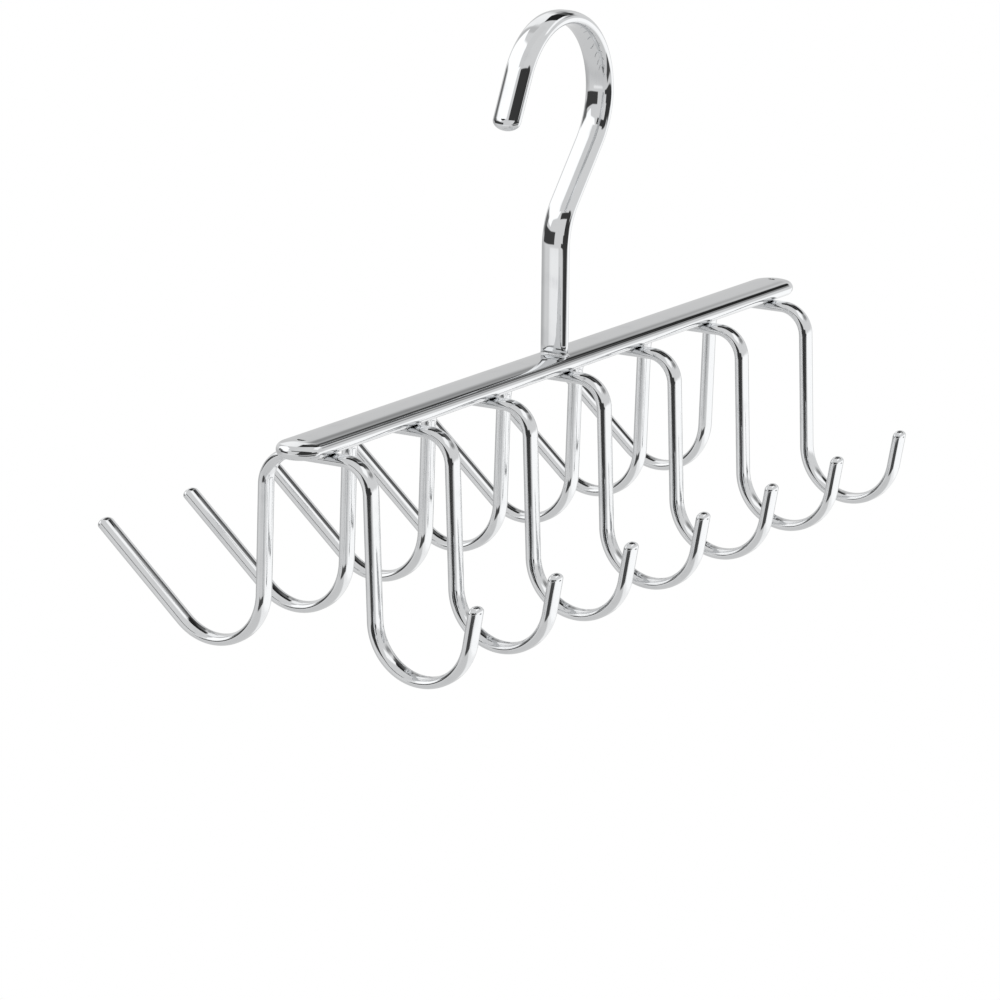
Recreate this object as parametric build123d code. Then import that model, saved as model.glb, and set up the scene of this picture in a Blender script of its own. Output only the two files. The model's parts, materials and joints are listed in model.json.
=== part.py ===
"""A chrome-plated hanger for ties and belts.

A flat-oval bar carries seven bent wires, each of which passes under it and forms one hook in front
and one behind. A flat-oval hook stands on its middle and goes over a closet rod.

X runs along the bar, the short hooks are at -Y, the long hooks at +Y, and Z is up. The origin is the
middle of the closet rod's space inside the hanging hook. All lengths are in millimetres.
"""

import os
from collections import namedtuple
from math import cos, radians, sin

from build123d import *

# Flat-oval stock: two faces with a narrow flat band, crowned beside it, and rounded edges
Stock = namedtuple("Stock", "width thickness edge_radius flat_band")

# Top bar
bar_stock = Stock(width=16.6, thickness=6.0, edge_radius=2.4, flat_band=3.0)
bar_length = 320.0

# Hanging hook
hook_stock = Stock(width=10.5, thickness=5.0, edge_radius=2.0, flat_band=1.6)
hook_end_depth = 3.4
rod_space_radius = 25.0
rod_height_over_bar = 88.3
neck_lean_angle = 39.7
neck_bend_radius = 23.2
crook_turn_angle = 194.5
mouth_run = 16.5

# Hook wires
wire_stock = Stock(width=7.2, thickness=3.6, edge_radius=1.4, flat_band=1.2)
wire_end_depth = 2.0
wire_count = 7
wire_end_margin = 17.5
leg_offset = 20.3

# Front and back halves of a hook wire differ only in these
WireHalf = namedtuple("WireHalf", "drop shoulder_radius leg_slant bowl_radius arm_angle arm_run")
front_half = WireHalf(
    drop=71.3, shoulder_radius=9.7, leg_slant=2.3, bowl_radius=18.2, arm_angle=80.0, arm_run=11.2
)
back_half = WireHalf(
    drop=70.2, shoulder_radius=11.6, leg_slant=1.6, bowl_radius=19.2, arm_angle=41.1, arm_run=42.1
)

# Weld seats and weld metal
wire_set_down = 0.4
stem_saddle_depth = 1.0
stem_bead_leg = 0.6
wire_bead_radius = 0.9
wire_bead_length = 8.0
wire_bead_inset = 0.3
wire_bead_drop = 0.4

# Places and heights that follow from the sizes above
wire_pitch = (bar_length - 2 * wire_end_margin) / (wire_count - 1)
bar_top = -rod_height_over_bar
bar_middle = bar_top - bar_stock.thickness / 2
bar_underside = bar_top - bar_stock.thickness
wire_top = bar_underside + wire_set_down
wire_middle = wire_top - wire_stock.thickness / 2


def half_outline(stock):
    """Edges of the right half of the section, from the top middle round to the bottom middle."""
    half_width = stock.width / 2
    half_thickness = stock.thickness / 2
    band_end = stock.flat_band / 2
    reach = half_width - band_end - stock.edge_radius
    rise = half_thickness - stock.edge_radius
    # The crown arc touches the flat band and the edge arc, which fixes how far its centre lies below
    crown_sink = (reach**2 - rise**2) / (2 * rise)
    crown_radius = half_thickness + crown_sink
    lean = Vector(reach, crown_sink).normalized()
    middle_lean = (lean + Vector(0, 1)).normalized()
    touch = Vector(band_end, -crown_sink) + lean * crown_radius
    crown_middle = Vector(band_end, -crown_sink) + middle_lean * crown_radius
    crown = ThreePointArc((band_end, half_thickness), (crown_middle.X, crown_middle.Y), (touch.X, touch.Y))
    return [
        Line((0, half_thickness), (band_end, half_thickness)),
        crown,
        ThreePointArc((touch.X, touch.Y), (half_width, 0), (touch.X, -touch.Y)),
        mirror(crown, about=Plane.XZ),
        Line((band_end, -half_thickness), (0, -half_thickness)),
    ]


def section(stock):
    """The whole flat-oval section, its width along X and its thickness along Y."""
    right = half_outline(stock)
    left = [mirror(edge, about=Plane.YZ) for edge in right]
    return make_face(right + left)


def half_round_end(stock):
    """Half of a disc with the section's rim, standing out along +Z from the section's plane."""
    half_thickness = stock.thickness / 2
    middle_line = Line((0, -half_thickness), (0, half_thickness))
    half_section = make_face(half_outline(stock) + [middle_line])
    return revolve(half_section, axis=Axis((0, 0, 0), (0, -1, 0)), revolution_arc=180)


def blunt_end(stock, depth):
    """The half-round end pressed flatter, so that it stands out by its depth only."""
    return scale(half_round_end(stock), by=(1, 1, depth / (stock.width / 2)))


def run(stock, at, length):
    """A straight run from a plane whose Z is the heading, and the plane at its far end."""
    return extrude(at * section(stock), amount=length), at.offset(length)


def bend(stock, at, radius, turn):
    """A bend of the centre line, towards the plane's +Y side if the turn is positive."""
    side = 1 if turn > 0 else -1
    centre = at.origin + at.y_dir * (side * radius)
    solid = revolve(at * section(stock), axis=Axis(centre, at.x_dir * -side), revolution_arc=abs(turn))
    angle = radians(abs(turn))
    heading = at.z_dir * cos(angle) + at.y_dir * (side * sin(angle))
    across = at.y_dir * cos(angle) - at.z_dir * (side * sin(angle))
    after = Plane(origin=centre - across * (side * radius), x_dir=at.x_dir, z_dir=heading)
    return solid, after


def follow(stock, at, steps):
    """Runs and bends one after another: a step is a run's length, or a bend's radius and turn."""
    pieces = []
    for step in steps:
        if len(step) == 1:
            piece, at = run(stock, at, *step)
        else:
            piece, at = bend(stock, at, *step)
        pieces.append(piece)
    return pieces, at


def joined(pieces):
    """One solid from pieces that meet face to face."""
    return pieces[0].fuse(*pieces[1:])


def wire_half(start, half):
    """From the middle of the bar outwards: bridge, shoulder, leg, bowl, arm and blunt tip."""
    slant = radians(half.leg_slant)
    turns_drop = (half.shoulder_radius + half.bowl_radius) * (1 - sin(slant))
    straight_drop = half.drop + wire_set_down - wire_stock.thickness - turns_drop
    leg_run = straight_drop / cos(slant)
    down_turn = 90 - half.leg_slant
    steps = [
        (leg_offset - half.shoulder_radius,),
        (half.shoulder_radius, -down_turn),
        (leg_run,),
        (half.bowl_radius, down_turn + half.arm_angle),
        (half.arm_run,),
    ]
    pieces, tip = follow(wire_stock, start, steps)
    return pieces + [tip * blunt_end(wire_stock, wire_end_depth)]


def hook_wire():
    """One bent wire, at the middle of the bar."""
    middle = (0, 0, wire_middle)
    front_start = Plane(origin=middle, x_dir=(1, 0, 0), z_dir=(0, -1, 0))
    back_start = Plane(origin=middle, x_dir=(-1, 0, 0), z_dir=(0, 1, 0))
    return joined(wire_half(front_start, front_half) + wire_half(back_start, back_half))


def plain_bar():
    """The bar before its weld seats: a straight run between two half-round ends."""
    reach = (bar_length - bar_stock.width) / 2
    near = Plane(origin=(-reach, 0, bar_middle), x_dir=(0, -1, 0), z_dir=(-1, 0, 0))
    far = Plane(origin=(reach, 0, bar_middle), x_dir=(0, 1, 0), z_dir=(1, 0, 0))
    body = extrude(far * section(bar_stock), amount=-2 * reach)
    return joined([body, near * half_round_end(bar_stock), far * half_round_end(bar_stock)])


def plain_hook():
    """The hanging hook before its foot is cut to the bar, from the foot up and over the rod."""
    lean = radians(neck_lean_angle)
    crook_radius = rod_space_radius + hook_stock.thickness / 2
    # The neck run brings the middle of the rod over the stem, and the stem makes up the height
    neck_run = (crook_radius * cos(lean) - neck_bend_radius * (1 - cos(lean))) / sin(lean)
    neck_height = (neck_bend_radius + crook_radius) * sin(lean) + neck_run * cos(lean)
    foot = bar_top - stem_saddle_depth
    start = Plane(origin=(0, 0, foot), x_dir=(0, 1, 0), z_dir=(0, 0, 1))
    steps = [
        (-foot - neck_height,),
        (neck_bend_radius, -neck_lean_angle),
        (neck_run,),
        (crook_radius, crook_turn_angle),
        (mouth_run,),
    ]
    pieces, mouth = follow(hook_stock, start, steps)
    return joined(pieces + [mouth * blunt_end(hook_stock, hook_end_depth)])


def stem_weld(bar, hook):
    """A sloping collar of weld metal in the corner between the stem and the bar."""
    top = Plane(origin=(0, 0, bar_top + stem_bead_leg), x_dir=(0, 1, 0), z_dir=(0, 0, 1))
    base = Plane(origin=(0, 0, bar_top), x_dir=(0, 1, 0), z_dir=(0, 0, 1))
    root = Plane(origin=(0, 0, bar_top - stem_saddle_depth), x_dir=(0, 1, 0), z_dir=(0, 0, 1))
    narrow = section(hook_stock)
    wide = offset(narrow, amount=stem_bead_leg)
    collar = loft([base * wide, top * narrow]) + extrude(root * wide, amount=stem_saddle_depth)
    return collar - bar - hook


def wire_welds(bar, wire):
    """Two beads under the bar, one in the groove along each side of a wire."""
    beads = []
    for side in (-1, 1):
        bead_x = side * (wire_stock.width / 2 - wire_bead_inset)
        start = Plane(
            origin=(bead_x, -wire_bead_length / 2, bar_underside - wire_bead_drop),
            x_dir=(1, 0, 0),
            z_dir=(0, 1, 0),
        )
        bead = extrude(start * Circle(wire_bead_radius), amount=wire_bead_length)
        for end in (start, start.offset(wire_bead_length)):
            bead += end * Sphere(wire_bead_radius)
        beads.append(bead - bar - wire)
    return Compound(children=beads)


def wire_places():
    """Where the wires cross the bar, evenly spaced from one end margin to the other."""
    first = wire_end_margin - bar_length / 2
    return [first + wire_pitch * number for number in range(wire_count)]


def build():
    """Every piece by its name."""
    pieces = {}
    bar = plain_bar()
    seated_bar = bar
    wire = hook_wire()
    welds = wire_welds(bar, wire)
    for number, x in enumerate(wire_places(), start=1):
        place = Pos(x, 0, 0)
        seated_bar -= place * wire
        pieces[f"hook_wire_{number}"] = place * wire
        pieces[f"wire_weld_{number}"] = place * welds
    hook = plain_hook() - bar
    pieces["top_bar"] = seated_bar
    pieces["hanging_hook"] = hook
    pieces["stem_weld"] = stem_weld(bar, hook)
    return pieces


if __name__ == "__main__":
    os.makedirs("parts", exist_ok=True)
    for name, piece in build().items():
        export_step(piece, f"parts/{name}.step")
        print(name, len(piece.solids()), "solids,", round(piece.volume, 1), "mm3")
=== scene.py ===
"""A chrome-plated hanger for ties and belts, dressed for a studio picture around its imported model.

The bar, the hanging hook and the hook wires are flat-oval steel. Each is a flat-oval section carried
along a line of straight runs and bends, with a rounded end. Lengths are in metres, in the model's
own frame: X runs along the bar, the short hooks are at -Y, and Z is up from the closet rod's middle.
"""

import json
from collections import namedtuple
from math import cos, pi, radians, sin, tan

import bpy
import numpy as np
from bpy.props import FloatProperty, FloatVectorProperty, IntProperty, PointerProperty
from bpy.types import Operator, Panel, PropertyGroup
from mathutils import Matrix, Vector


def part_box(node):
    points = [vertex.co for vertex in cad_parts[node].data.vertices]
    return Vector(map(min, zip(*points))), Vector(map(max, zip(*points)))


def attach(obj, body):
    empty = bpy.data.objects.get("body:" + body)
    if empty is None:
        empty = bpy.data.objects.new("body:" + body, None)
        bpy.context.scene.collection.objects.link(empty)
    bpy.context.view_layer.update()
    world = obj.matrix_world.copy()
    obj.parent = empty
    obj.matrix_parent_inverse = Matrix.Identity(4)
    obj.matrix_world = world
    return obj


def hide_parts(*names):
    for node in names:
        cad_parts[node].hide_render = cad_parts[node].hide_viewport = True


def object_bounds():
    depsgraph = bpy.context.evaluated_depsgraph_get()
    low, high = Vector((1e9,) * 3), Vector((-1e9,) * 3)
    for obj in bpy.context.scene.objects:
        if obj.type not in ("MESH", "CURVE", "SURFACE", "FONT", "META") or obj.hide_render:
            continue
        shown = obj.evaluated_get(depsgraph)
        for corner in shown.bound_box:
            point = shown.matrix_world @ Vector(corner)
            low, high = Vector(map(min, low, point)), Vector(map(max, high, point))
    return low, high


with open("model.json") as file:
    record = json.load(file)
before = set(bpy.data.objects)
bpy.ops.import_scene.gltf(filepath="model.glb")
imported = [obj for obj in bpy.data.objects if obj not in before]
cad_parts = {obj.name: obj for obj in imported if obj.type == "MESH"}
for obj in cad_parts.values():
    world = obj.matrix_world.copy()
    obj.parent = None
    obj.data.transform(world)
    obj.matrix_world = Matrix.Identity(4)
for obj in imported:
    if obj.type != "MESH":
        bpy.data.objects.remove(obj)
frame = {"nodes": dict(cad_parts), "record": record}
cad_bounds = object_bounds()

bl_info = {
    "name": "Tie Hanger",
    "version": (1, 0, 0),
    "blender": (4, 5, 0),
    "location": "View3D > Sidebar > Tie Hanger",
    "description": "Makes a chrome-plated tie and belt hanger and the studio around it",
    "category": "Add Mesh",
}

MM = 0.001
BODY = "root"
WIRE_NODES = sorted(name for name in frame["nodes"] if name.startswith("hook_wire_"))
WELD_NODES = sorted(name for name in frame["nodes"] if name.startswith("wire_weld_"))

bar_low, bar_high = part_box("top_bar")
hook_low, hook_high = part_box("hanging_hook")
wire_low, wire_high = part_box(WIRE_NODES[0])
rod_mount = next(mount for mount in frame["record"]["mounts"] if mount["name"] == "closet_rod")

ALONG_BAR, ACROSS_BAR, UP = (1, 0, 0), (0, 1, 0), (0, 0, 1)

Stock = namedtuple("Stock", "width thickness edge_radius flat_band")
Noise = namedtuple("Noise", "detail roughness")
Span = namedtuple("Span", "start end")

# The octaves of each kind of noise and the share of strength from one to the next
WAVE_NOISE = Noise(1, 0.4)
LINE_NOISE = Noise(2, 0.6)
HAZE_NOISE = Noise(3, 0.6)
GRAIN_NOISE = Noise(3, 0.6)
MOTTLE_NOISE = Noise(2, 0.5)

# Noise levels at which the dull patches begin and are full
HAZE_SPAN = Span(0.52, 0.78)
WORN_SPAN = Span(0.35, 0.65)
MOTTLE_SPAN = Span(0.35, 0.7)


def length(name, description, default):
    """A length that a user can change, in metres."""
    return FloatProperty(
        name=name, description=description, default=default, min=0, unit="LENGTH", subtype="DISTANCE")


def angle(name, description, default_degrees):
    """An angle that a user can change, given in degrees and kept in radians."""
    return FloatProperty(
        name=name, description=description, default=radians(default_degrees), subtype="ANGLE")


def share(name, description, default):
    """A plain number from 0 to 1."""
    return FloatProperty(
        name=name, description=description, default=default, min=0, max=1, subtype="FACTOR")


def number(name, description, default):
    """How many of something, as a whole number."""
    return IntProperty(name=name, description=description, default=default, min=1)


def colour(name, description, default):
    """A linear colour."""
    return FloatVectorProperty(
        name=name, description=description, default=default, min=0, max=1, subtype="COLOR")


class BarSizes(PropertyGroup):
    """The straight bar that carries everything."""

    length: length("Length", "From end to end", bar_high.x - bar_low.x)
    width: length("Width", "Across the bar, seen from above", bar_high.y - bar_low.y)
    thickness: length("Thickness", "Height of the bar", bar_high.z - bar_low.z)
    edge_radius: length("Edge radius", "Roundness of the long edges", 2.4 * MM)
    flat_band: length("Flat band", "Width of the flat middle of each face", 3.0 * MM)


class HookSizes(PropertyGroup):
    """The hook that goes over the closet rod."""

    width: length("Width", "Wide side of the strip", hook_high.y - hook_low.y)
    thickness: length("Thickness", "Thin side of the strip", 5.0 * MM)
    edge_radius: length("Edge radius", "Roundness of the long edges", 2.0 * MM)
    flat_band: length("Flat band", "Flat middle of each face", rod_mount["dims"]["length_mm"] * MM)
    end_depth: length("End depth", "How far the blunt end stands out", 3.4 * MM)
    rod_space_radius: length(
        "Rod space radius", "Inner radius of the crook", rod_mount["dims"]["r_mm"] * MM)
    neck_lean: angle("Neck lean", "Lean of the neck from upright", 39.7)
    neck_bend_radius: length("Neck bend radius", "Middle radius of the lower bend", 23.2 * MM)
    crook_turn: angle("Crook turn", "How far the crook goes round the rod", 194.5)
    mouth_run: length("Mouth run", "Straight run before the blunt end", 16.5 * MM)


class FrontHalf(PropertyGroup):
    """The short upright hook in front."""

    drop: length("Drop", "From the bar's underside to the bowl's lowest point", 71.3 * MM)
    shoulder_radius: length("Shoulder radius", "Middle radius of the bend beside the bar", 9.7 * MM)
    leg_slant: angle("Leg slant", "Outward slant of the leg", 2.3)
    bowl_radius: length("Bowl radius", "Middle radius of the bowl", 18.2 * MM)
    arm_angle: angle("Arm angle", "Rise of the arm from level", 80.0)
    arm_run: length("Arm run", "Straight run before the tip", 11.2 * MM)


class BackHalf(PropertyGroup):
    """The long slanted hook behind."""

    drop: length("Drop", "From the bar's underside to the bowl's lowest point", 70.2 * MM)
    shoulder_radius: length("Shoulder radius", "Middle radius of the bend beside the bar", 11.6 * MM)
    leg_slant: angle("Leg slant", "Outward slant of the leg", 1.6)
    bowl_radius: length("Bowl radius", "Middle radius of the bowl", 19.2 * MM)
    arm_angle: angle("Arm angle", "Rise of the arm from level", 41.1)
    arm_run: length("Arm run", "Straight run before the tip", 42.1 * MM)


class WireSizes(PropertyGroup):
    """The wires that make the tie hooks."""

    width: length("Width", "Wide side of the wire", wire_high.x - wire_low.x)
    thickness: length("Thickness", "Thin side of the wire", 3.6 * MM)
    edge_radius: length("Edge radius", "Roundness of the edges", 1.4 * MM)
    flat_band: length("Flat band", "Width of the flat middle of each face", 1.2 * MM)
    end_depth: length("End depth", "How far the blunt tip stands out", 2.0 * MM)
    leg_offset: length("Leg offset", "From the bar's middle to the top of each leg", 20.3 * MM)
    front: PointerProperty(type=FrontHalf)
    back: PointerProperty(type=BackHalf)


class WeldSizes(PropertyGroup):
    """The weld metal."""

    collar_leg: length("Collar leg", "Reach of the collar round the stem", 0.6 * MM)
    bead_radius: length("Bead radius", "Radius of a bead under the bar", 0.9 * MM)
    bead_length: length("Bead length", "Length of a bead without its round ends", 8.0 * MM)
    bead_inset: length("Bead inset", "How far a bead's middle lies inside the wire's edge", 0.3 * MM)
    bead_drop: length("Bead drop", "How far a bead's middle lies under the bar", 0.4 * MM)
    collar_core: share("Collar core", "Width of the collar's hidden inside, of the stem's width", 0.9)
    collar_ripple: share("Collar ripple", "Height of the collar's ripples as a share of its leg", 0.03)
    bead_ripple: share("Bead ripple", "Depth of a bead's ripples as a share of its radius", 0.12)
    ripple_pitch: length("Ripple pitch", "From one ripple to the next", 0.9 * MM)


class Smoothness(PropertyGroup):
    """How finely the surfaces are divided."""

    face_points: number("Face points", "Points on half of a crowned face", 12)
    edge_points: number("Edge points", "Points round a rounded edge", 20)
    bend_step: angle("Bend step", "Turn from one ring to the next in a bend", 1.2)
    run_step: length("Run step", "Length from one ring to the next in a run", 4.0 * MM)
    end_steps: number("End steps", "Steps round a rounded end", 36)
    collar_points: number("Collar points", "Points from the collar's top to its foot", 13)
    bead_rings: number("Bead rings", "Rings along a bead, with its two poles", 61)
    bead_points: number("Bead points", "Points round a bead", 24)
    floor_points: number("Floor points", "Points round the floor", 96)


class CameraView(PropertyGroup):
    """The camera, for a square picture."""

    azimuth: angle("Azimuth", "Heading of the view from +X towards +Y", 32.295)
    elevation: angle("Elevation", "How far the camera looks down", 14.45)
    roll: angle("Roll", "Turn of the camera about its own view", 0.551)
    distance: length("Distance", "From the camera to the bar's middle, along the view", 1605.4 * MM)
    focal_px: FloatProperty(name="Focal length", description="In pixels of the picture", default=4677.5)
    picture_px: FloatProperty(name="Picture side", description="In pixels", default=1000)
    bar_middle_px: FloatVectorProperty(
        name="Bar middle", description="The middle of the bar's underside in the picture, in pixels",
        size=2, default=(554.15, 370.4))
    clip_end: length("Clip end", "The farthest that the camera sees", 100)


class ChromeFinish(PropertyGroup):
    """The chrome plate."""

    plate: colour("Plate", "Colour of the chrome", (0.80, 0.81, 0.82))
    haze: colour("Haze", "Colour where the plate is a little dull", (0.70, 0.71, 0.725))
    weld: colour("Weld", "Colour of the plated weld metal", (0.66, 0.67, 0.68))
    roughness: share("Roughness", "Roughness of the clean plate", 0.03)
    haze_roughness: share("Haze roughness", "Roughness where the plate is dull", 0.10)
    wire_roughness: share("Wire roughness", "What the wires' plate adds to the roughness", 0.05)
    weld_roughness: share("Weld roughness", "Roughness of the plated weld metal", 0.14)
    grain_size: length("Grain size", "Size of the weld metal's grains", 0.4 * MM)
    grain_height: length("Grain height", "Height of the weld metal's grains", 0.02 * MM)
    grain_roughness: share("Grain roughness", "What the grains add to the roughness", 0.06)
    mottle_size: length("Mottle size", "Size of the weld metal's dull patches", 2 * MM)
    wave_length: length("Wave length", "Distance between the faint waves of the plate", 9 * MM)
    wave_height: length("Wave height", "Height of the faint waves", 0.012 * MM)
    haze_size: length("Haze size", "Size of the dull patches", 15 * MM)
    worn_share: share("Worn share", "How much of the dull colour shows only on the drawing lines", 0.4)
    line_pitch: length("Line pitch", "Distance between the drawing lines under the plate", 0.35 * MM)
    line_length: length("Line length", "Length of a drawing line", 60 * MM)
    line_height: length("Line height", "Height of the drawing lines", 0.0004 * MM)


class StudioSizes(PropertyGroup):
    """The floor and the lamps."""

    floor_drop: length("Floor drop", "From the hanger's lowest point to the floor", 0.9)
    floor_radius: length("Floor radius", "Radius of the round floor", 9.0)
    floor: colour("Floor", "Colour of the floor", (0.9, 0.9, 0.9))
    background: colour("Background", "What the camera sees behind the hanger", (1, 1, 1))
    lamp_distance: length("Lamp distance", "From the hanger to each lamp", 1.8)
    lamp_side: length("Lamp side", "Side of each square lamp", 1.0)
    lamp_power: FloatProperty(name="Lamp power", description="In watts, for each lamp", default=6, min=0)


class TieHanger(PropertyGroup):
    """Every size and colour of the hanger and its studio."""

    bar: PointerProperty(type=BarSizes)
    hook: PointerProperty(type=HookSizes)
    wire: PointerProperty(type=WireSizes)
    weld: PointerProperty(type=WeldSizes)
    smooth: PointerProperty(type=Smoothness)
    camera: PointerProperty(type=CameraView)
    finish: PointerProperty(type=ChromeFinish)
    studio: PointerProperty(type=StudioSizes)


def stock_of(sizes):
    """The section's sizes from a group of sizes."""
    return Stock(sizes.width, sizes.thickness, sizes.edge_radius, sizes.flat_band)


def arc_points(centre, radius, start, end, count):
    """Points on an arc: the centre plus the radius times sine and cosine of an angle from upright."""
    turn = np.linspace(start, end, count)
    return np.stack([centre[0] + radius * np.sin(turn), centre[1] + radius * np.cos(turn)], axis=1)


def crown_sink(stock):
    """How far a crown arc's centre lies below the section's middle, so that it touches the edge arc."""
    reach = (stock.width - stock.flat_band) / 2 - stock.edge_radius
    rise = stock.thickness / 2 - stock.edge_radius
    return reach, (reach**2 - rise**2) / (2 * rise)


def half_outline(stock, smooth):
    """Right half of the section from its top middle round to its bottom middle.

    A flat band, then a crown arc that touches both the band and the edge arc, then the edge arc,
    and the same again below, mirrored.
    """
    half_width, half_thickness = stock.width / 2, stock.thickness / 2
    reach, sink = crown_sink(stock)
    touch = np.arctan2(reach, sink)
    crown = arc_points((stock.flat_band / 2, -sink), half_thickness + sink, 0, touch, smooth.face_points)
    edge = arc_points((half_width - stock.edge_radius, 0), stock.edge_radius, touch, pi - touch,
                      smooth.edge_points)
    top = np.concatenate([[(0, half_thickness)], crown])
    return np.concatenate([top, edge[1:-1], top[::-1] * (1, -1)])


def whole_outline(half):
    """The closed section: the right half, then its mirror image without the two middle points."""
    return np.concatenate([half, half[-2:0:-1] * (-1, 1)])


def follow(steps, smooth, start, heading):
    """Points and headings of a flat line of runs and bends.

    A step is a run's length, or a bend's radius and turn, which is positive to the left. A bend's
    points are its centre plus the radius times the sine and the minus cosine of the heading.
    """
    place = np.array(start, float)
    points, headings = [place[None]], [np.array([heading])]
    for step in steps:
        if len(step) == 1:
            count = max(int(np.ceil(step[0] / smooth.run_step)), 1)
            along = np.linspace(0, step[0], count + 1)[1:, None]
            points.append(place + along * (cos(heading), sin(heading)))
            headings.append(np.full(count, heading))
        else:
            radius, turn = step
            side = np.sign(turn)
            count = max(int(np.ceil(abs(turn) / smooth.bend_step)), 1)
            angles = heading + np.linspace(0, turn, count + 1)[1:]
            centre = place + side * radius * np.array([-sin(heading), cos(heading)])
            points.append(centre + side * radius * np.stack([np.sin(angles), -np.cos(angles)], axis=1))
            headings.append(angles)
            heading += turn
        place = points[-1][-1]
    return np.concatenate(points), np.concatenate(headings)


def in_plane(points, along, up):
    """Flat points or directions in space: the first number times along plus the second times up."""
    return points[:, :1] * np.array(along, float) + points[:, 1:] * np.array(up, float)


def directions(headings, along, up):
    """The thin and the outward direction at each heading: the heading turned a quarter, and itself."""
    outward = np.stack([np.cos(headings), np.sin(headings)], axis=1)
    thin = np.stack([-np.sin(headings), np.cos(headings)], axis=1)
    return in_plane(thin, along, up), in_plane(outward, along, up)


def end_cap(half, middle, wide, thin, out, depth, steps):
    """A rounded end: the half outline turned half round the thin direction and pressed to its depth.

    A point is the middle plus x cos t wide plus y thin plus x sin t (depth over half width) out. The
    place before bending is x cos t, y and x sin t (depth over half width).
    """
    turn = np.linspace(0, pi, steps + 1)[1:-1]
    x, y = np.broadcast_arrays(half[1:-1, :1], half[1:-1, 1:])
    press = depth / half[:, 0].max()
    before = np.stack(np.broadcast_arrays(x * np.cos(turn), y, x * np.sin(turn) * press), axis=-1)
    return middle + before[..., :1] * wide + before[..., 1:2] * thin + before[..., 2:] * out, before


def grid_faces(index):
    """Quads between neighbouring rows and columns of a grid of vertex numbers."""
    corners = [index[:-1, :-1], index[:-1, 1:], index[1:, 1:], index[1:, :-1]]
    return np.stack(corners, axis=-1).reshape(-1, 4)


def numbered(points, first=0):
    """Vertex numbers for a grid of points, row by row from the first number."""
    return first + np.arange(points.shape[0] * points.shape[1]).reshape(points.shape[:2])


def joined_round(index):
    """A grid of vertex numbers with its first column once more after the last."""
    return np.concatenate([index, index[:, :1]], axis=1)


def cap_faces(ring, first, half_count, steps):
    """Faces of an end cap that shares the ring's vertices: quads, and triangles at its two poles."""
    index = np.empty((half_count, steps + 1), int)
    index[:, 0] = ring[:half_count]
    index[1:-1, -1] = ring[:half_count - 1:-1]
    index[0, :] = ring[0]
    index[-1, :] = ring[half_count - 1]
    inner = (half_count - 2, steps - 1)
    index[1:-1, 1:-1] = first + np.arange(inner[0] * inner[1]).reshape(inner)
    quads = grid_faces(index[1:-1].T)
    top = np.stack([index[0, :-1], index[1, :-1], index[1, 1:]], axis=-1)
    bottom = np.stack([index[-1, :-1], index[-2, 1:], index[-2, :-1]], axis=-1)
    return quads, np.concatenate([top, bottom])


def strip_surface(stock, smooth, middles, wide, thin, out, depths):
    """A swept strip: each ring is a middle plus x times wide plus y times thin, for the outline.

    Each end is rounded to its depth, or is cut flat where the depth is None. With each vertex goes its
    place in the strip before bending: x, y and the length along the middle line.
    """
    half = half_outline(stock, smooth)
    outline = whole_outline(half)
    wide = np.array(wide, float)
    rings = middles[:, None] + outline[None, :, :1] * wide + outline[None, :, 1:] * thin[:, None]
    vertices = [rings.reshape(-1, 3)]
    gaps = np.linalg.norm(np.diff(middles, axis=0), axis=1)
    lengths = np.concatenate([[0], np.cumsum(gaps)])
    across = np.tile(outline, (len(middles), 1))
    straight = [np.column_stack([across, np.repeat(lengths, len(outline))])]
    index = numbered(rings)
    faces = grid_faces(joined_round(index)).tolist()
    count = index.size
    for at, sign, depth in ((0, -1, depths[0]), (-1, 1, depths[1])):
        if depth is None:
            faces.append(index[at][::sign].tolist())
            continue
        cap, before = end_cap(half, middles[at], wide, thin[at], out[at] * sign, depth, smooth.end_steps)
        vertices.append(cap.reshape(-1, 3))
        straight.append((before * (1, 1, sign) + (0, 0, lengths[at])).reshape(-1, 3))
        quads, triangles = cap_faces(index[at], count, len(half), smooth.end_steps)
        count += cap.shape[0] * cap.shape[1]
        faces += quads[:, ::sign].tolist() + triangles[:, ::-sign].tolist()
    return np.concatenate(vertices), faces, np.concatenate(straight)


def swept(sizes, smooth, line, along, wide, depths, shift=(0, 0, 0)):
    """A strip along a flat line of points and headings, which lies in the plane of along and up."""
    points, headings = line
    thin, out = directions(headings, along, UP)
    middles = in_plane(points, along, UP) + shift
    return strip_surface(stock_of(sizes), smooth, middles, wide, thin, out, depths)


def signed_volume(mesh):
    """A closed mesh's volume: a sixth of the sum, over its triangles, of the first corner dot the cross
    product of the other two. It is negative where the faces point inwards."""
    mesh.calc_loop_triangles()
    corners = np.empty(len(mesh.loop_triangles) * 3, np.int32)
    mesh.loop_triangles.foreach_get("vertices", corners)
    places = np.empty(len(mesh.vertices) * 3, np.float32)
    mesh.vertices.foreach_get("co", places)
    a, b, c = places.reshape(-1, 3).astype(float)[corners.reshape(-1, 3)].transpose(1, 0, 2)
    return np.einsum("ij,ij->", a, np.cross(b, c)) / 6


def add_piece(name, vertices, faces, straight, material, slot, nodes):
    """Makes a smooth piece that faces outwards, rides on the hanger and stands for its CAD nodes.

    Its attribute "straight" keeps each vertex's place in the strip before bending, for the materials.
    """
    mesh = bpy.data.meshes.new(name)
    mesh.from_pydata(vertices.tolist(), [], faces)
    mesh.update()
    mesh.attributes.new("straight", "FLOAT_VECTOR", "POINT").data.foreach_set("vector", straight.ravel())
    if signed_volume(mesh) < 0:
        mesh.flip_normals()
    mesh.shade_smooth()
    mesh.materials.append(material)
    piece = bpy.data.objects.new(name, mesh)
    bpy.context.scene.collection.objects.link(piece)
    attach(piece, BODY)
    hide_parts(*nodes)
    return piece


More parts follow.
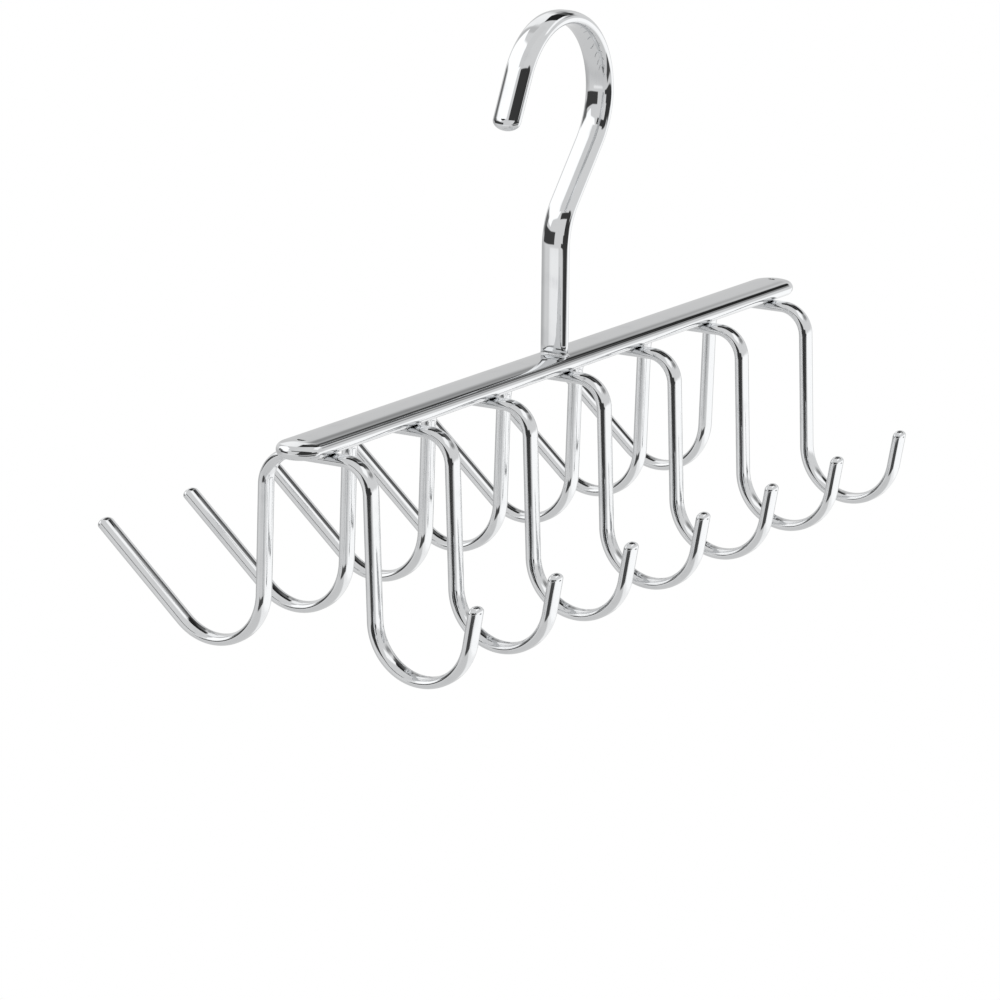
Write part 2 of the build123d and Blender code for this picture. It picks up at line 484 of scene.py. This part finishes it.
class Signal:
    """A node's output. Arithmetic on it adds Math nodes to its tree."""

    def __init__(self, tree, socket):
        self.tree, self.socket = tree, socket

    def math(self, operation, first, second):
        return add_node(self.tree, "ShaderNodeMath", {"operation": operation}, {0: first, 1: second})

    def __add__(self, other):
        return self.math("ADD", self, other)

    def __rsub__(self, other):
        return self.math("SUBTRACT", other, self)

    def __mul__(self, other):
        return self.math("MULTIPLY", self, other)

    def __truediv__(self, other):
        return self.math("DIVIDE", self, other)

    def __abs__(self):
        return self.math("ABSOLUTE", self, 0)

    __radd__ = __add__
    __rmul__ = __mul__

    def at_least(self, other):
        return self.math("MAXIMUM", self, other)

    def over(self, other):
        return self.math("GREATER_THAN", self, other)

    def along(self, direction):
        """How far this vector reaches along a direction: their dot product."""
        return add_node(self.tree, "ShaderNodeVectorMath", {"operation": "DOT_PRODUCT"},
                        {0: self, 1: tuple(direction)}, "Value")

    def scaled(self, *factors):
        """This vector with each of its parts times a factor."""
        return add_node(self.tree, "ShaderNodeVectorMath", {"operation": "MULTIPLY"},
                        {0: self, 1: factors})

    def ramp(self, start, end):
        """A smooth rise from 0 at the start to 1 at the end."""
        return add_node(self.tree, "ShaderNodeMapRange", {"interpolation_type": "SMOOTHSTEP"},
                        {"Value": self, "From Min": start, "From Max": end})


def add_node(tree, kind, settings, inputs, output=0):
    """Adds a node: its settings first, then the values or links of its sockets. Gives back an output."""
    node = tree.nodes.new(kind)
    for name, value in settings.items():
        setattr(node, name, value)
    for name, value in inputs.items():
        if isinstance(value, Signal):
            tree.links.new(value.socket, node.inputs[name])
        else:
            node.inputs[name].default_value = value
    return Signal(tree, node.outputs[output]) if node.outputs else node


def noise(tree, place, size, kind):
    """Soft noise from 0 to 1 at a place, with features of a size."""
    inputs = {"Vector": place, "Scale": 1 / size, "Detail": kind.detail, "Roughness": kind.roughness}
    return add_node(tree, "ShaderNodeTexNoise", {}, inputs)


def mixed_colour(tree, factor, first, second):
    """From the first colour at 0 to the second at 1."""
    return add_node(tree, "ShaderNodeMix", {"data_type": "RGBA"},
                    {"Factor": factor, "A": (*first, 1), "B": (*second, 1)}, "Result")


def empty_material(name):
    """A material with an empty node tree, and the tree."""
    material = bpy.data.materials.get(name) or bpy.data.materials.new(name)
    material.use_nodes = True
    material.node_tree.nodes.clear()
    return material, material.node_tree


def plating(tree, colour, roughness, height, distance):
    """The metal shader with a bump from a height, joined to the material's output."""
    bump = add_node(tree, "ShaderNodeBump", {}, {"Height": height, "Distance": distance})
    shader = add_node(tree, "ShaderNodeBsdfPrincipled", {},
                      {"Base Color": colour, "Metallic": 1, "Roughness": roughness, "Normal": bump})
    add_node(tree, "ShaderNodeOutputMaterial", {}, {"Surface": shader})


def chrome(name, finish, added_roughness=0):
    """Bright chrome plate on drawn steel: faint waves, fine lines along the strip and patches of haze.

    The waves and the haze are noise in the hanger's space. The lines are noise in the strip's own space
    before bending, drawn out along the strip, so that they follow every bend.
    """
    material, tree = empty_material(name)
    place = add_node(tree, "ShaderNodeTexCoord", {}, {}, "Object")
    straight = add_node(tree, "ShaderNodeAttribute", {"attribute_name": "straight"}, {}, "Vector")
    waves = noise(tree, place, finish.wave_length, WAVE_NOISE)
    drawn_out = straight.scaled(1, 1, finish.line_pitch / finish.line_length)
    lines = noise(tree, drawn_out, finish.line_pitch, LINE_NOISE)
    haze = noise(tree, place, finish.haze_size, HAZE_NOISE).ramp(*HAZE_SPAN)
    worn = haze * lines.ramp(*WORN_SPAN)
    dullness = haze * (1 - finish.worn_share) + worn * finish.worn_share
    colour = mixed_colour(tree, dullness, finish.plate, finish.haze)
    roughness = finish.roughness + added_roughness + worn * (finish.haze_roughness - finish.roughness)
    height = waves + lines * (finish.line_height / finish.wave_height)
    plating(tree, colour, roughness, height, finish.wave_height)
    return material


def weld_chrome(name, finish):
    """Chrome plate over weld metal: duller, grainy and mottled."""
    material, tree = empty_material(name)
    place = add_node(tree, "ShaderNodeTexCoord", {}, {}, "Object")
    grain = noise(tree, place, finish.grain_size, GRAIN_NOISE)
    mottle = noise(tree, place, finish.mottle_size, MOTTLE_NOISE).ramp(*MOTTLE_SPAN)
    colour = mixed_colour(tree, mottle, finish.weld, finish.plate)
    roughness = finish.weld_roughness + (finish.haze_roughness - finish.weld_roughness) * mottle
    plating(tree, colour, roughness + grain * finish.grain_roughness, grain, finish.grain_height)
    return material


class TIEHANGER_OT_bar(Operator):
    """Makes the flat-oval bar with its two half-round ends"""

    bl_idname = "tie_hanger.bar"
    bl_label = "Top Bar"

    def execute(self, context):
        hanger = context.scene.tie_hanger
        sizes, smooth = hanger.bar, hanger.smooth
        reach = (sizes.length - sizes.width) / 2
        middle_x, middle_z = (bar_low.x + bar_high.x) / 2, (bar_low.z + bar_high.z) / 2
        line = follow([(2 * reach,)], smooth, (middle_x - reach, middle_z), 0)
        depths = (sizes.width / 2, sizes.width / 2)
        surface = swept(sizes, smooth, line, ALONG_BAR, ACROSS_BAR, depths)
        add_piece("bar", *surface, chrome("bar chrome", hanger.finish), "bar_chrome", ["top_bar"])
        return {"FINISHED"}


class TIEHANGER_OT_hook(Operator):
    """Makes the hook that goes over the closet rod"""

    bl_idname = "tie_hanger.hook"
    bl_label = "Hanging Hook"

    def execute(self, context):
        hanger = context.scene.tie_hanger
        sizes, smooth = hanger.hook, hanger.smooth
        crook_radius = sizes.rod_space_radius + sizes.thickness / 2
        lean, bend = sizes.neck_lean, sizes.neck_bend_radius
        neck_run = (crook_radius * cos(lean) - bend * (1 - cos(lean))) / sin(lean)
        neck_height = (bend + crook_radius) * sin(lean) + neck_run * cos(lean)
        steps = [(-neck_height - hook_low.z,), (bend, -lean), (neck_run,),
                 (crook_radius, sizes.crook_turn), (sizes.mouth_run,)]
        line = follow(steps, smooth, (0, hook_low.z), pi / 2)
        surface = swept(sizes, smooth, line, ALONG_BAR, ACROSS_BAR, (None, sizes.end_depth))
        material = chrome("hook chrome", hanger.finish)
        add_piece("rod_hook", *surface, material, "hook_chrome", ["hanging_hook"])
        return {"FINISHED"}


def wire_half_line(sizes, half, smooth, middle_z):
    """Points and headings of half a hook wire, from the bar's middle outwards to the tip's start."""
    down_turn = pi / 2 - half.leg_slant
    turns_drop = (half.shoulder_radius + half.bowl_radius) * (1 - sin(half.leg_slant))
    drop = middle_z - (bar_low.z - half.drop) - sizes.thickness / 2
    leg_run = (drop - turns_drop) / cos(half.leg_slant)
    steps = [(sizes.leg_offset - half.shoulder_radius,), (half.shoulder_radius, -down_turn), (leg_run,),
             (half.bowl_radius, down_turn + half.arm_angle), (half.arm_run,)]
    return follow(steps, smooth, (0, middle_z), 0)


class TIEHANGER_OT_wires(Operator):
    """Makes the hook wires, each one under the bar and bent into a hook in front and one behind"""

    bl_idname = "tie_hanger.wires"
    bl_label = "Hook Wires"

    def execute(self, context):
        hanger = context.scene.tie_hanger
        sizes, smooth = hanger.wire, hanger.smooth
        middle_z = wire_high.z - sizes.thickness / 2
        front, front_headings = wire_half_line(sizes, sizes.front, smooth, middle_z)
        back, back_headings = wire_half_line(sizes, sizes.back, smooth, middle_z)
        points = np.concatenate([front[::-1] * (-1, 1), back[1:]])
        headings = np.concatenate([-front_headings[::-1], back_headings[1:]])
        depths = (sizes.end_depth, sizes.end_depth)
        material = chrome("wire chrome", hanger.finish, hanger.finish.wire_roughness)
        for place, node in enumerate(WIRE_NODES, start=1):
            low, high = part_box(node)
            middle = ((low.x + high.x) / 2, 0, 0)
            surface = swept(sizes, smooth, (points, headings), ACROSS_BAR, ALONG_BAR, depths, middle)
            add_piece(f"tie_wire_{place}", *surface, material, "wire_chrome", [node])
        return {"FINISHED"}


def crown_height(stock, across):
    """Height of a section's face over its middle: flat on the band, then the crown arc's circle."""
    _, sink = crown_sink(stock)
    beyond = np.maximum(np.abs(across) - stock.flat_band / 2, 0)
    return np.sqrt((stock.thickness / 2 + sink)**2 - beyond**2) - sink


def outline_normals(outline):
    """Outward directions of a closed outline: the chord past each point, turned a quarter."""
    chord = np.roll(outline, -1, axis=0) - np.roll(outline, 1, axis=0)
    normals = np.stack([-chord[:, 1], chord[:, 0]], axis=1)
    return normals / np.linalg.norm(normals, axis=1, keepdims=True)


class TIEHANGER_OT_stem_collar(Operator):
    """Makes the sloping collar of weld metal round the foot of the stem"""

    bl_idname = "tie_hanger.stem_collar"
    bl_label = "Stem Collar"

    def execute(self, context):
        """A hollow fillet is carried round the stem's outline. At an angle a it stands leg (1 - cos a)
        out and leg (1 - sin a) above the bar's crown, plus ripples that fade at both of its edges."""
        hanger = context.scene.tie_hanger
        weld, smooth, leg = hanger.weld, hanger.smooth, hanger.weld.collar_leg
        outline = whole_outline(half_outline(stock_of(hanger.hook), smooth))
        normals = outline_normals(outline)
        chords = np.linalg.norm(np.roll(outline, -1, axis=0) - outline, axis=1)
        around = np.concatenate([[0], np.cumsum(chords)[:-1]]) / chords.sum()
        wave = np.sin(2 * pi * round(chords.sum() / weld.ripple_pitch) * around)
        turn = np.linspace(0, pi / 2, smooth.collar_points)[:, None]
        swell = weld.collar_ripple * leg * np.sin(2 * turn) * (1 + wave)
        out = leg * (1 - np.cos(turn)) + swell
        foot = outline + leg * normals
        crown = (bar_low.z + bar_high.z) / 2 + crown_height(stock_of(hanger.bar), foot[:, 0])
        height = crown + (bar_high.z + leg - crown) * (1 - np.sin(turn)) + swell
        places = outline + out[..., None] * normals
        skin = np.stack([places[..., 1], places[..., 0], height], axis=-1)
        core = outline * weld.collar_core
        inner = np.stack([core[:, 1], core[:, 0], crown - leg], axis=-1)
        rings = np.concatenate([skin, inner[None]])
        index = joined_round(numbered(rings))
        index = np.concatenate([index, index[:1]])
        vertices = rings.reshape(-1, 3)
        add_piece("stem_collar", vertices, grid_faces(index).tolist(), vertices,
                  weld_chrome("weld chrome", hanger.finish), "weld_chrome", ["stem_weld"])
        return {"FINISHED"}


def bead_surface(weld, smooth, middle, first):
    """A rippled bead along Y with round ends and closed poles, and its faces from a first vertex number.

    A point's radius is that of a capsule at its place along Y, less the ripple's share of it.
    """
    reach = weld.bead_length / 2 + weld.bead_radius
    along = reach * -np.cos(np.linspace(0, pi, smooth.bead_rings))
    beyond = np.maximum(np.abs(along) - weld.bead_length / 2, 0)
    radius = np.sqrt(np.maximum(weld.bead_radius**2 - beyond**2, 0))
    radius *= 1 - weld.bead_ripple * (1 + np.cos(2 * pi * along / weld.ripple_pitch)) / 2
    turn = np.linspace(0, 2 * pi, smooth.bead_points, endpoint=False)
    inner = radius[1:-1, None]
    parts = np.broadcast_arrays(inner * np.cos(turn), along[1:-1, None], inner * np.sin(turn))
    rings = np.stack(parts, axis=-1)
    index = joined_round(numbered(rings, first))
    pole = first + rings.shape[0] * rings.shape[1]
    near = np.stack([np.full(turn.size, pole), index[0, 1:], index[0, :-1]], axis=1)
    far = np.stack([np.full(turn.size, pole + 1), index[-1, :-1], index[-1, 1:]], axis=1)
    poles = np.array([(0, along[0], 0), (0, along[-1], 0)])
    faces = grid_faces(index).tolist() + near.tolist() + far.tolist()
    return np.concatenate([rings.reshape(-1, 3), poles]) + middle, faces


class TIEHANGER_OT_wire_beads(Operator):
    """Makes the two weld beads in the grooves between each wire and the bar"""

    bl_idname = "tie_hanger.wire_beads"
    bl_label = "Wire Beads"

    def execute(self, context):
        hanger = context.scene.tie_hanger
        weld, smooth = hanger.weld, hanger.smooth
        material = weld_chrome("weld chrome", hanger.finish)
        offset = Vector((hanger.wire.width / 2 - weld.bead_inset, 0, 0))
        for place, node in enumerate(WELD_NODES, start=1):
            low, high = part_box(node)
            middle = Vector(((low.x + high.x) / 2, 0, bar_low.z - weld.bead_drop))
            left, left_faces = bead_surface(weld, smooth, middle - offset, 0)
            right, right_faces = bead_surface(weld, smooth, middle + offset, len(left))
            vertices = np.concatenate([left, right])
            add_piece(f"wire_beads_{place}", vertices, left_faces + right_faces, vertices, material,
                      "weld_chrome", [node])
        return {"FINISHED"}


Card = namedtuple("Card", "azimuth elevation half_width half_height turn brightness blur")
Lamp = namedtuple("Lamp", "azimuth elevation")

# Soft boxes and dark flags round the hanger, which its chrome mirrors. Directions, half sizes, turns
# and blurs are in degrees as seen from the hanger, the azimuth from +X towards +Y. A later card
# stands before the earlier ones.
CARDS = {
    "floor box": Card(-30, -36, 40, 12, 0, 1.0, 8),
    "side box": Card(-36, -18, 28, 16, 0, 1.17, 8),
    "arm box": Card(-36, 46, 21, 11, 0, 1.15, 6),
    "dark room": Card(-121, -1, 46, 14, 0, 0.042, 4),
    "roof slope": Card(-130, 18, 27, 19, -27, 0.042, 4),
    "table edge": Card(-122, -9, 53, 5, 0, 0.045, 3),
    "low room": Card(-118, -31, 38, 8, 0, 0.07, 4),
    "boom": Card(-172, 38.5, 22, 5, 0, 0.045, 2),
    "top wall": Card(32, 8, 14, 13, 0, 0.64, 8),
    "low wall": Card(85, -14, 30, 12, 0, 0.5, 30),
    "bright wall": Card(44, 35, 12, 15, 0, 1.05, 5),
    "grey wall": Card(66, 40, 5, 20, 0, 0.57, 5),
    "back box": Card(110, 38, 30, 20, 0, 1.25, 2),
    "box corner": Card(129, 69, 30, 12, -51, 0.72, 2),
    "strip end": Card(104, 12, 13, 10, 0, 0.17, 6),
    "far strip": Card(130, 3, 21, 9, 0, 0.055, 2),
    "low gleam": Card(160, -12, 13, 2, 0, 1.0, 4),
    "soft flag": Card(7, 37, 19, 4, 0, 0.11, 7),
    "thin flag": Card(4, 30.5, 18, 3.8, 0, 0.02, 5),
    "rise flag": Card(28, 24, 5, 4, 0, 0.3, 7),
    "fall flag": Card(-24, 24, 8, 5, 0, 0.3, 8),
    "flag": Card(12, 48, 18, 10, 0, 0.018, 2),
}
# Brightness of the room and of its ground, and how far down a direction points where one turns into
# the other
ROOM, GROUND = 0.75, 0.67
GROUND_SPAN = Span(0.1, 0.6)
# A depth that keeps a card's mask from a division by nothing
LEAST_DEPTH = 0.001
# Directions of the lamps as seen from the hanger, in degrees
LAMPS = {"key lamp": Lamp(120, 50), "fill lamp": Lamp(-40, 30)}


def heading_of(azimuth, elevation):
    """The direction at an azimuth and an elevation in radians."""
    return Vector((cos(elevation) * cos(azimuth), cos(elevation) * sin(azimuth), sin(elevation)))


def card_axes(card):
    """The directions ahead to the card's middle, across it and up it."""
    azimuth, turn = radians(card.azimuth), radians(card.turn)
    ahead = heading_of(azimuth, radians(card.elevation))
    level = Vector((-sin(azimuth), cos(azimuth), 0))
    upright = ahead.cross(level)
    return ahead, level * cos(turn) + upright * sin(turn), upright * cos(turn) - level * sin(turn)


def card_mask(direction, card):
    """1 where the direction meets the card, 0 beside it, with a soft edge of the card's blur."""
    ahead, across, up = card_axes(card)
    depth = direction.along(ahead)
    mask = depth.over(0)
    blur = tan(radians(card.blur)) / 2
    for axis, half in ((across, card.half_width), (up, card.half_height)):
        offset = abs(direction.along(axis) / depth.at_least(LEAST_DEPTH))
        edge = tan(radians(half))
        mask = mask * (1 - offset.ramp(edge - blur, edge + blur))
    return mask


def studio_world(background):
    """The surroundings: the cards before a pale room, and a plain background for the camera."""
    world = bpy.data.worlds.new("studio")
    world.use_nodes = True
    tree = world.node_tree
    tree.nodes.clear()
    direction = add_node(tree, "ShaderNodeTexCoord", {}, {}, "Generated")
    height = direction.along(UP)
    brightness = ROOM + (0 - height).ramp(*GROUND_SPAN) * (GROUND - ROOM)
    for card in CARDS.values():
        brightness = brightness + card_mask(direction, card) * (card.brightness - brightness)
    seen = add_node(tree, "ShaderNodeLightPath", {}, {}, "Is Camera Ray")
    room = add_node(tree, "ShaderNodeBackground", {}, {"Color": brightness})
    plain = add_node(tree, "ShaderNodeBackground", {}, {"Color": (*background, 1)})
    both = add_node(tree, "ShaderNodeMixShader", {}, {0: seen, 1: room, 2: plain})
    add_node(tree, "ShaderNodeOutputWorld", {}, {"Surface": both})
    return world


def floor_material(studio):
    """Pale and plain. The camera sees it as bright as the background."""
    material, tree = empty_material("floor")
    seen = add_node(tree, "ShaderNodeLightPath", {}, {}, "Is Camera Ray")
    cloth = add_node(tree, "ShaderNodeBsdfDiffuse", {}, {"Color": (*studio.floor, 1)})
    plain = add_node(tree, "ShaderNodeEmission", {}, {"Color": (*studio.background, 1)})
    both = add_node(tree, "ShaderNodeMixShader", {}, {0: seen, 1: cloth, 2: plain})
    add_node(tree, "ShaderNodeOutputMaterial", {}, {"Surface": both})
    return material


def add_floor(studio, points):
    """A round floor under the hanger, which the chrome doesn't mirror."""
    turn = np.linspace(0, 2 * pi, points, endpoint=False)
    height = cad_bounds[0][2] - studio.floor_drop
    rim = np.stack([studio.floor_radius * np.cos(turn), studio.floor_radius * np.sin(turn),
                    np.full(points, height)], axis=1)
    mesh = bpy.data.meshes.new("floor")
    mesh.from_pydata(rim.tolist(), [], [tuple(range(points))])
    mesh.materials.append(floor_material(studio))
    floor = bpy.data.objects.new("floor", mesh)
    floor.visible_glossy = False
    bpy.context.scene.collection.objects.link(floor)


def add_lamp(name, lamp_heading, studio):
    """A soft square lamp, turned to the hanger from its heading."""
    data = bpy.data.lights.new(name, "AREA")
    data.size = studio.lamp_side
    data.energy = studio.lamp_power
    lamp = bpy.data.objects.new(name, data)
    ahead = heading_of(radians(lamp_heading.azimuth), radians(lamp_heading.elevation))
    turn = ahead.to_track_quat("Z", "Y").to_matrix().to_4x4()
    lamp.matrix_world = Matrix.Translation(ahead * studio.lamp_distance) @ turn
    lamp.visible_glossy = False
    lamp.visible_camera = False
    bpy.context.scene.collection.objects.link(lamp)


def add_camera(view):
    """The camera, from its heading, its turn and the bar's place in the picture."""
    data = bpy.data.cameras.new("camera")
    data.sensor_fit = "HORIZONTAL"
    data.lens = view.focal_px / view.picture_px * data.sensor_width
    data.clip_end = view.clip_end
    ahead = heading_of(view.azimuth, -view.elevation)
    level = Vector((sin(view.azimuth), -cos(view.azimuth), 0))
    upright = level.cross(ahead)
    right = level * cos(view.roll) + upright * sin(view.roll)
    up = -level * sin(view.roll) + upright * cos(view.roll)
    to_metres = view.distance / view.focal_px
    across = (view.bar_middle_px[0] - view.picture_px / 2) * to_metres
    above = (view.picture_px / 2 - view.bar_middle_px[1]) * to_metres
    bar_middle = Vector((0, 0, bar_low.z))
    place = bar_middle - ahead * view.distance - right * across - up * above
    turn = Matrix((right, up, -ahead)).transposed().to_4x4()
    camera = bpy.data.objects.new("camera", data)
    camera.matrix_world = Matrix.Translation(place) @ turn
    bpy.context.scene.collection.objects.link(camera)
    bpy.context.scene.camera = camera


class TIEHANGER_OT_studio(Operator):
    """Makes the surroundings, the floor, the soft lamps and the camera"""

    bl_idname = "tie_hanger.studio"
    bl_label = "Studio"

    def execute(self, context):
        hanger = context.scene.tie_hanger
        context.scene.world = studio_world(hanger.studio.background)
        context.scene.view_settings.view_transform = "Standard"
        add_floor(hanger.studio, hanger.smooth.floor_points)
        for name, lamp in LAMPS.items():
            add_lamp(name, lamp, hanger.studio)
        add_camera(hanger.camera)
        return {"FINISHED"}


class TIEHANGER_PT_panel(Panel):
    """Lists the pieces in the sidebar"""

    bl_label = "Tie Hanger"
    bl_space_type = "VIEW_3D"
    bl_region_type = "UI"
    bl_category = "Tie Hanger"

    def draw(self, context):
        for operator in OPERATORS:
            self.layout.operator(operator.bl_idname)


GROUPS = (BarSizes, HookSizes, FrontHalf, BackHalf, WireSizes, WeldSizes, Smoothness, CameraView,
          ChromeFinish, StudioSizes, TieHanger)
OPERATORS = (TIEHANGER_OT_bar, TIEHANGER_OT_hook, TIEHANGER_OT_wires, TIEHANGER_OT_stem_collar,
             TIEHANGER_OT_wire_beads, TIEHANGER_OT_studio)


def register():
    """Registers the sizes, the operators and the panel."""
    for group in (*GROUPS, *OPERATORS, TIEHANGER_PT_panel):
        bpy.utils.register_class(group)
    bpy.types.Scene.tie_hanger = PointerProperty(type=TieHanger)


def unregister():
    """Takes them away again."""
    del bpy.types.Scene.tie_hanger
    for group in reversed((*GROUPS, *OPERATORS, TIEHANGER_PT_panel)):
        bpy.utils.unregister_class(group)


def main():
    """Makes everything in order."""
    register()
    bpy.ops.tie_hanger.bar()
    bpy.ops.tie_hanger.hook()
    bpy.ops.tie_hanger.wires()
    bpy.ops.tie_hanger.stem_collar()
    bpy.ops.tie_hanger.wire_beads()
    bpy.ops.tie_hanger.studio()


if __name__ == "__main__":
    main()
